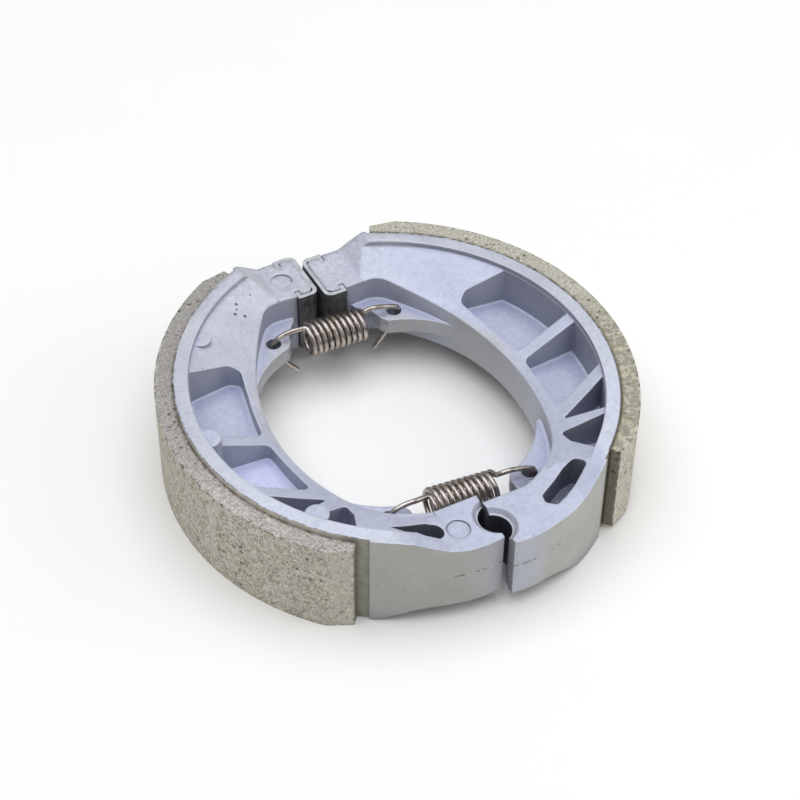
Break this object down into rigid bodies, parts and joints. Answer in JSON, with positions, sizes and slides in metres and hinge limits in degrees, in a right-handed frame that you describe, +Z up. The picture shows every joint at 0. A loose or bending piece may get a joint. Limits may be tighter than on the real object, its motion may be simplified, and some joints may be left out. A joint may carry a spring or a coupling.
{
  "type": "drum brake shoe set",
  "caption": "Drum brake shoe set: cast aluminium shoes with bonded linings face each other, held by coil springs near the cam pads and the anchor seat.",
  "frame": {"origin": "on the floor, midway between the two shoes' own drum centres", "axes": "+Z up, along the drum axis; +Y from the anchor seat to the cam pads; +X towards the right shoe"},
  "size_m": [0.1038, 0.1021, 0.0245],
  "materials": {
    "casting": "as-cast, shot-blasted grey, ground end faces",
    "lining": "moulded resin friction material, grainy, light and dark flecks",
    "cap_steel": "pressed sheet, dull",
    "spring_steel": "drawn wire, oiled dark"
  },
  "bodies": {
    "left": {"left_shoe": "casting", "left_lining": "lining", "left_cap": "cap_steel", "cam_spring": "spring_steel", "anchor_spring": "spring_steel"},
    "right": {"right_shoe": "casting", "right_lining": "lining", "right_cap": "cap_steel"}
  },
  "joints": [
    {"name": "spread", "type": "hinge", "parent": "left", "child": "right", "pos_m": [0, -0.0433, 0.01225], "axis": [0, 0, -1], "range_deg": [0, 8], "stiffness_Nm_per_rad": 34, "springref_deg": -2.29, "deforming": ["cam_spring", "anchor_spring"]}
  ]
}
